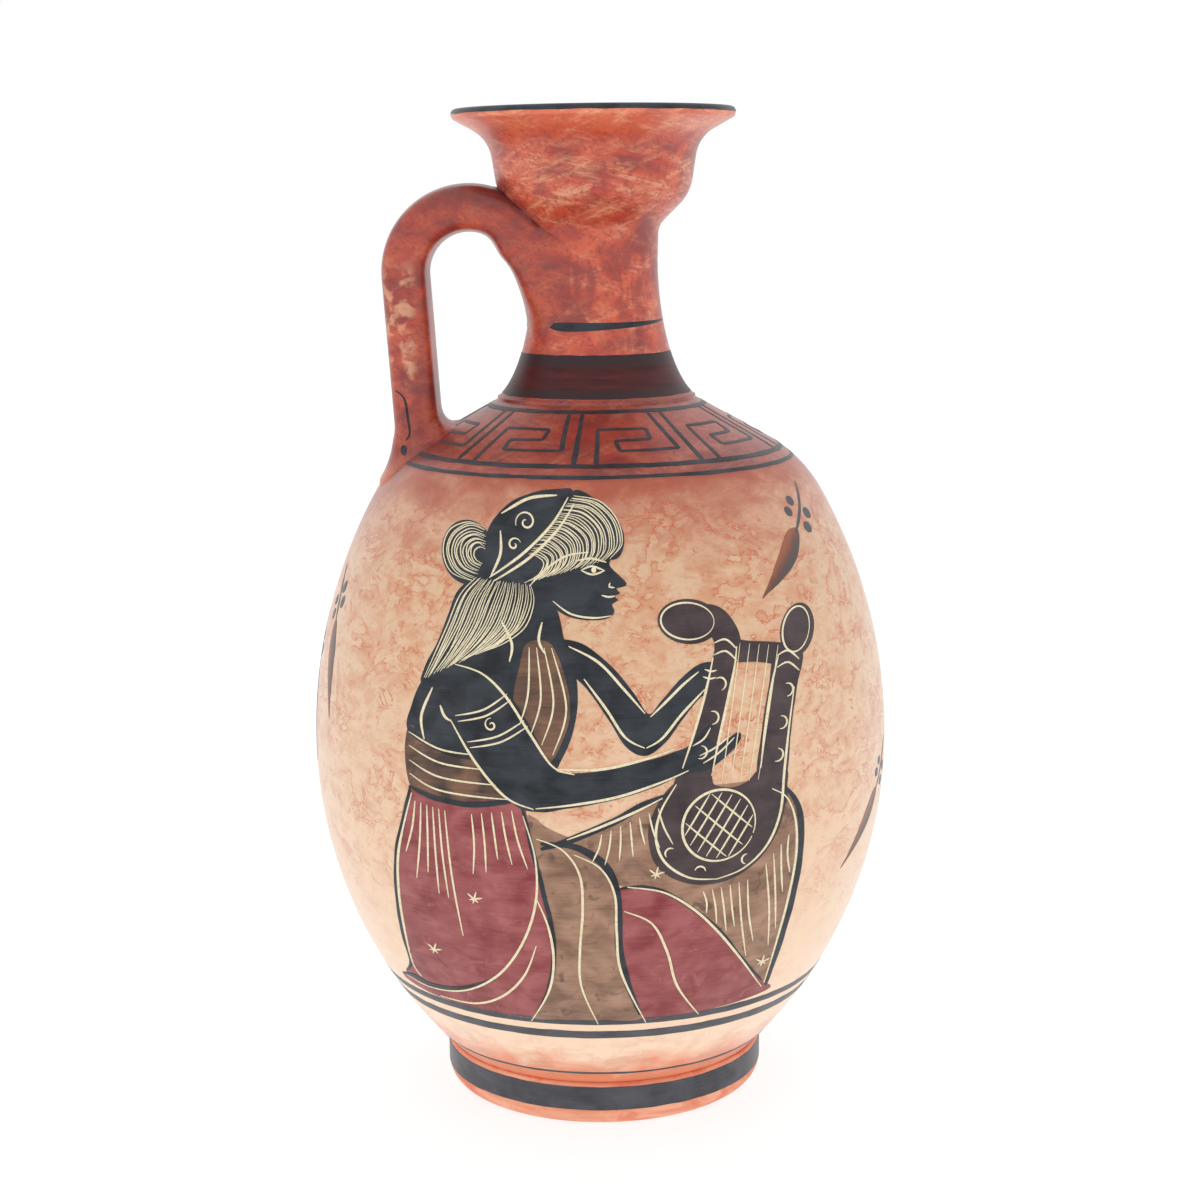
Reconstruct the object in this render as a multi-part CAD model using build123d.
from build123d import *
import os
from math import asin, atan2, cos, degrees, radians, sin, sqrt, tan

# A lekythos: a thrown clay oil flask, made as five pieces that are luted together.
# Millimetres. +Z is up, the flask stands on Z = 0, its axis is the Z axis, its painted
# front faces -Y and its handle is on the -X side.

# Foot ring
FOOT_HEIGHT = 11.8
FOOT_LEDGE = 0.8            # how far the foot stands out past the body it carries
FOOT_RING_WIDTH = 12.0
FOOT_LOWER_ROUND = 4.8
FOOT_UPPER_ROUND = 0.7

# Body
SEAT_RADIUS = 40.2          # body radius where it leaves the top of the foot
SEAT_DEPTH = 6.8            # how far the rounded base sinks into the foot
BELLY_RADIUS = 73.2
BELLY_RISE = 80.2           # from the top of the foot to the widest level
UPPER_SWELL_RADIUS = 128.9  # arc of the wall above the widest level
SHOULDER_RISE = 86.5        # from the widest level to the rim of the neck's collar
SHOULDER_SLOPE = 29.2       # degrees above the horizontal
SHOULDER_ROUND = 35.0       # between the wall and the shoulder
BODY_WALL = 5.0
BODY_FLOOR = 6.0
FLOOR_ROUND = 9.0           # inside, between the floor and the wall

# Neck
COLLAR_RADIUS = 25.0
COLLAR_HEIGHT = 0.9
COLLAR_LEDGE = 0.5          # from the foot of the neck's flank to the collar's edge
COLLAR_ROUND = 0.4
NECK_RISE = 34.5            # from the collar's rim to the narrowest level
FLANK_SINK = 2.0            # how far the flank's ellipse would run on below the collar's top
THROAT_RADIUS = 15.7
NECK_TOP_RADIUS = 15.9
NECK_TOP_RISE = 6.0         # from the narrowest level to the joint with the mouth
NECK_WALL = 4.7
SPIGOT_WALL = 5.0           # of the spigot that goes through the shoulder
TENON_WALL = 2.2            # of the tenon that the mouth is set over
TENON_HEIGHT = 5.7
BORE_EDGE_ROUND = 1.6
LUTE_GAP = 0.2              # room for slip round the spigot and the tenon

# Mouth
STEM_HEIGHT = 2.1           # from the joint to where the cup flares out
FLARE_HEIGHT = 8.1
CUP_LOW_RADIUS = 24.0
CUP_HEIGHT = 13.6
CUP_HIGH_RADIUS = 26.1
LIP_RISE = 5.0
LIP_RADIUS = 35.2
LIP_THICKNESS = 2.2
MOUTH_WALL = 4.6
STEM_ROUND = 8.7
BULGE_ROUND = 11.0
LIP_ROUND = 9.0
CUP_FLOOR_ROUND = 5.0       # inside, where the floor of the cup turns up
CUP_LIP_ROUND = 9.0         # inside, where the cup turns out to the lip
LIP_EDGE_ROUND = 1.1

# Handle
STRAP_WIDTH = 21.0
STRAP_THICKNESS = 11.0
STRAP_ROUND = 3.6
GRIP_REACH = 47.4           # from the axis to the middle of the grip at its furthest out
GRIP_LEAN = 3.5             # degrees that the upright part leans outwards
CROWN_HEIGHT = 226.2        # middle of the strap at its top
BEND_RADIUS = 16.0
BEND_TURN = 130.0           # degrees of the tight bend, before the strap runs down to the neck
NECK_ROOT_REACH = 9.2       # from the axis to the buried end of the strap
SHOULDER_ROOT_DEPTH = 12.0  # how deep the strap's lower end starts below the shoulder
ROOT_FLARE_HEIGHT = 24.0    # from the buried lower end to where the strap has its own section
ROOT_FLARE = 4.0            # how much thicker the strap is on each side at its buried end
ROOT_FLARE_MIDDLE = 1.0     # and half way up the flare

RUN_SHARE = 0.96            # most of a straight run that the rounds at its ends may take

# Levels and radii that follow from the sizes above
base_z = FOOT_HEIGHT - SEAT_DEPTH
belly_z = FOOT_HEIGHT + BELLY_RISE
collar_z = belly_z + SHOULDER_RISE
collar_top_z = collar_z + COLLAR_HEIGHT
throat_z = collar_z + NECK_RISE
neck_top_z = throat_z + NECK_TOP_RISE
tenon_top_z = neck_top_z + TENON_HEIGHT
flare_z = neck_top_z + STEM_HEIGHT
cup_low_z = flare_z + FLARE_HEIGHT
cup_high_z = cup_low_z + CUP_HEIGHT
lip_under_z = cup_high_z + LIP_RISE
lip_z = lip_under_z + LIP_THICKNESS
bore_radius = THROAT_RADIUS - NECK_WALL
spigot_radius = bore_radius + SPIGOT_WALL
hole_radius = spigot_radius + LUTE_GAP
tenon_radius = bore_radius + TENON_WALL
socket_radius = tenon_radius + LUTE_GAP
foot_radius = SEAT_RADIUS + FOOT_LEDGE
slope = radians(SHOULDER_SLOPE)


def turn(edges):
    """Solid of revolution of a closed outline, drawn as radius across and height up."""
    return revolve(Plane.XZ * make_face(edges), Axis.Z)


def chain(*points):
    """Straight edges through the points."""
    return [Line(a, b) for a, b in zip(points, points[1:])]


def rounded(points, rounds, close=False):
    """Edges through the points with their corners rounded, as far as the runs beside them allow."""
    corners = [Vector(*point) for point in points]
    if close:
        corners = [corners[-1]] + corners + [corners[0]]
    wanted = rounds if close else [0] + rounds + [0]
    fitted = []
    for index, radius in enumerate(rounds):
        before, corner, after = corners[index : index + 3]
        half_turn = radians((corner - before).get_angle(after - corner)) / 2
        place = index if close else index + 1
        shares = [0.5 if wanted[near % len(wanted)] else 1.0 for near in (place - 1, place + 1)]
        runs = [(corner - before).length * shares[0], (after - corner).length * shares[1]]
        fitted.append(min(radius, RUN_SHARE * min(runs) / tan(half_turn)))
    return FilletPolyline(*points, radius=fitted, close=close).edges()


def shoulder_height(radius, inset=0.0):
    """Height of the shoulder's cone at a radius, on a surface set in from the outside."""
    return collar_z - (radius - COLLAR_RADIUS) * tan(slope) - inset / cos(slope)


def shoulder_bend():
    """Centre of the round between wall and shoulder, and the angle where it leaves the wall."""
    wall_centre = Vector(BELLY_RADIUS - UPPER_SWELL_RADIUS, belly_z)
    normal = Vector(sin(slope), cos(slope))
    along = Vector(cos(slope), -sin(slope))
    start = Vector(COLLAR_RADIUS, collar_z) - normal * SHOULDER_ROUND - wall_centre
    reach = UPPER_SWELL_RADIUS - SHOULDER_ROUND
    run = -start.dot(along) + sqrt(start.dot(along) ** 2 - start.dot(start) + reach**2)
    from_wall_centre = start + along * run
    angle = degrees(atan2(from_wall_centre.Y, from_wall_centre.X))
    return wall_centre + from_wall_centre, angle


def body_outline(inset, low_z, high_radius):
    """Wall and shoulder from low_z up to a radius on the shoulder, set in from the outside."""
    outward = BELLY_RADIUS - SEAT_RADIUS
    lower_radius = (BELLY_RISE**2 + outward**2) / (2 * outward)
    low_angle = degrees(asin((low_z - belly_z) / (lower_radius - inset)))
    bend_centre, bend_angle = shoulder_bend()
    lower = CenterArc((BELLY_RADIUS - lower_radius, belly_z), lower_radius - inset, low_angle, -low_angle)
    upper = CenterArc(
        (BELLY_RADIUS - UPPER_SWELL_RADIUS, belly_z), UPPER_SWELL_RADIUS - inset, 0, bend_angle
    )
    bend = CenterArc(bend_centre, SHOULDER_ROUND - inset, bend_angle, 90 - SHOULDER_SLOPE - bend_angle)
    shoulder = Line(bend @ 1, (high_radius, shoulder_height(high_radius, inset)))
    return [lower, upper, bend, shoulder]


def make_body_core():
    """The body as if it were solid clay, which its neighbours are cut to."""
    outline = body_outline(0, base_z, hole_radius)
    top = outline[-1] @ 1
    return turn(outline + chain(top, (0, top.Y), (0, base_z), outline[0] @ 0))


def make_body_shell():
    outside = body_outline(0, base_z, hole_radius)
    floor_z = base_z + BODY_FLOOR
    inside = body_outline(BODY_WALL, floor_z, hole_radius)
    edges = outside + inside
    edges += chain(outside[-1] @ 1, inside[-1] @ 1)
    edges += chain(inside[0] @ 0, (0, floor_z), (0, base_z), outside[0] @ 0)
    shell = turn(edges)
    floor_edge = shell.edges().filter_by(GeomType.CIRCLE).group_by(Axis.Z)[1]
    return fillet(floor_edge, FLOOR_ROUND)


def make_foot_ring(body_core):
    inner_radius = foot_radius - FOOT_RING_WIDTH
    corners = [
        (inner_radius, FOOT_HEIGHT),
        (inner_radius, 0),
        (foot_radius, 0),
        (foot_radius, FOOT_HEIGHT),
    ]
    blank = turn(rounded(corners, [0, 0, FOOT_LOWER_ROUND, FOOT_UPPER_ROUND], close=True))
    return blank - body_core


def neck_outside():
    """The neck's flank, from the joint with the mouth down to the rim of its collar."""
    drop = throat_z - collar_top_z
    ellipse_height = drop + FLANK_SINK
    turned = asin(drop / ellipse_height)
    flank_radius = COLLAR_RADIUS - COLLAR_LEDGE
    ellipse_width = (flank_radius - THROAT_RADIUS) / (1 - cos(turned))
    flank = EllipticalCenterArc(
        (THROAT_RADIUS + ellipse_width, throat_z),
        ellipse_width,
        ellipse_height,
        start_angle=180,
        arc_size=degrees(turned),
    )
    collar = [flank @ 1, (COLLAR_RADIUS, collar_top_z), (COLLAR_RADIUS, collar_z)]
    upper = Line((NECK_TOP_RADIUS, neck_top_z), flank @ 0)
    return [upper, flank] + rounded(collar, [COLLAR_ROUND])


def make_neck_core():
    """The neck as if it had no bore, which the handle is cut to."""
    axis = chain((COLLAR_RADIUS, collar_z), (0, collar_z), (0, neck_top_z), (NECK_TOP_RADIUS, neck_top_z))
    return turn(neck_outside() + axis)


def make_neck():
    spigot_z = shoulder_height(hole_radius, BODY_WALL)
    inside = [
        (COLLAR_RADIUS, collar_z),
        (spigot_radius, shoulder_height(spigot_radius)),
        (spigot_radius, spigot_z),
        (bore_radius, spigot_z),
        (bore_radius, tenon_top_z),
        (tenon_radius, tenon_top_z),
        (tenon_radius, neck_top_z),
        (NECK_TOP_RADIUS, neck_top_z),
    ]
    return turn(neck_outside() + rounded(inside, [0, 0, 0, BORE_EDGE_ROUND, 0, 0]))


def inset_line(low, high, inset):
    """A point on, and the direction of, the line from low to high, moved towards the axis."""
    along = (Vector(*high) - Vector(*low)).normalized()
    return Vector(*low) + Vector(-along.Y, along.X) * inset, along


def crossing(first, second):
    """Where two lines, each a point and a direction, cross."""
    point, along = first
    other_point, other_along = second
    apart = other_point - point
    across = along.X * other_along.Y - along.Y * other_along.X
    return point + along * ((apart.X * other_along.Y - apart.Y * other_along.X) / across)


def mouth_corners():
    """Corners of the mouth's outside, from the joint up to the underside of the lip."""
    return [
        (NECK_TOP_RADIUS, neck_top_z),
        (NECK_TOP_RADIUS, flare_z),
        (CUP_LOW_RADIUS, cup_low_z),
        (CUP_HIGH_RADIUS, cup_high_z),
        (LIP_RADIUS, lip_under_z),
    ]


def make_mouth_core():
    """The mouth as if it were solid clay, which the handle is cut to."""
    outside = rounded(mouth_corners(), [STEM_ROUND, BULGE_ROUND, LIP_ROUND])
    axis = chain((LIP_RADIUS, lip_under_z), (0, lip_under_z), (0, neck_top_z), (NECK_TOP_RADIUS, neck_top_z))
    return turn(outside + axis)


def make_mouth_cup():
    _, flare, cup_low, cup_high, lip_under = mouth_corners()
    socket = (Vector(socket_radius, neck_top_z), Vector(0, 1))
    floor = inset_line(flare, cup_low, MOUTH_WALL)
    wall = inset_line(cup_low, cup_high, MOUTH_WALL)
    lip = inset_line(cup_high, lip_under, MOUTH_WALL)
    top = (Vector(LIP_RADIUS, lip_z), Vector(-1, 0))
    outside_rounds = [0, STEM_ROUND, BULGE_ROUND, LIP_ROUND]
    lip_rounds = [LIP_EDGE_ROUND] * 3
    inside_rounds = [CUP_LIP_ROUND, CUP_FLOOR_ROUND, 0, 0]
    corners = mouth_corners() + [
        (LIP_RADIUS, lip_z),
        crossing(lip, top),
        crossing(wall, lip),
        crossing(floor, wall),
        crossing(socket, floor),
        (socket_radius, neck_top_z),
    ]
    return turn(rounded(corners, outside_rounds + lip_rounds + inside_rounds, close=True))


def make_strap_handle(body_core, neck_core, mouth_core):
    """The strap from inside the shoulder, up, over a tight bend and down into the neck."""
    lean = radians(GRIP_LEAN)
    last_turn = 180 + GRIP_LEAN - BEND_TURN
    bend_x = BEND_RADIUS - GRIP_REACH
    bend_z = CROWN_HEIGHT - BEND_RADIUS
    bend_start = Vector(bend_x - BEND_RADIUS * cos(lean), bend_z - BEND_RADIUS * sin(lean))
    up_grip = Vector(-sin(lean), cos(lean))
    to_run = cos(radians(last_turn))
    run_radius = (-NECK_ROOT_REACH - bend_x - BEND_RADIUS * to_run) / (1 - to_run)

    low_z = shoulder_height(GRIP_REACH + STRAP_THICKNESS) - SHOULDER_ROOT_DEPTH
    low_end = bend_start - up_grip * ((bend_start.Y - low_z) / cos(lean))
    grip_start = low_end + up_grip * ROOT_FLARE_HEIGHT
    upright = Line(grip_start, bend_start)
    bend = JernArc(bend_start, up_grip, BEND_RADIUS, -BEND_TURN)
    run_down = JernArc(bend @ 1, bend % 1, run_radius, -last_turn)
    path = Plane.XZ * Curve([upright, bend, run_down])

    def section(along, grow=0.0):
        """The strap's rounded section, a distance up from its buried lower end."""
        middle = low_end + up_grip * along
        plane = Plane(
            origin=(middle.X, 0, middle.Y), x_dir=(0, 1, 0), z_dir=(up_grip.X, 0, up_grip.Y)
        )
        return plane * RectangleRounded(
            STRAP_WIDTH + 2 * grow, STRAP_THICKNESS + 2 * grow, STRAP_ROUND + grow
        )

    strap = sweep(section(ROOT_FLARE_HEIGHT), path)
    root = loft(
        [
            section(0, ROOT_FLARE),
            section(ROOT_FLARE_HEIGHT / 2, ROOT_FLARE_MIDDLE),
            section(ROOT_FLARE_HEIGHT),
        ]
    )
    return (strap + root) - body_core - neck_core - mouth_core


def main():
    body_core = make_body_core()
    pieces = {
        "foot_ring": make_foot_ring(body_core),
        "body_shell": make_body_shell(),
        "neck": make_neck(),
        "mouth_cup": make_mouth_cup(),
        "strap_handle": make_strap_handle(body_core, make_neck_core(), make_mouth_core()),
    }
    os.makedirs("parts", exist_ok=True)
    for name, piece in pieces.items():
        export_step(piece, f"parts/{name}.step")


main()
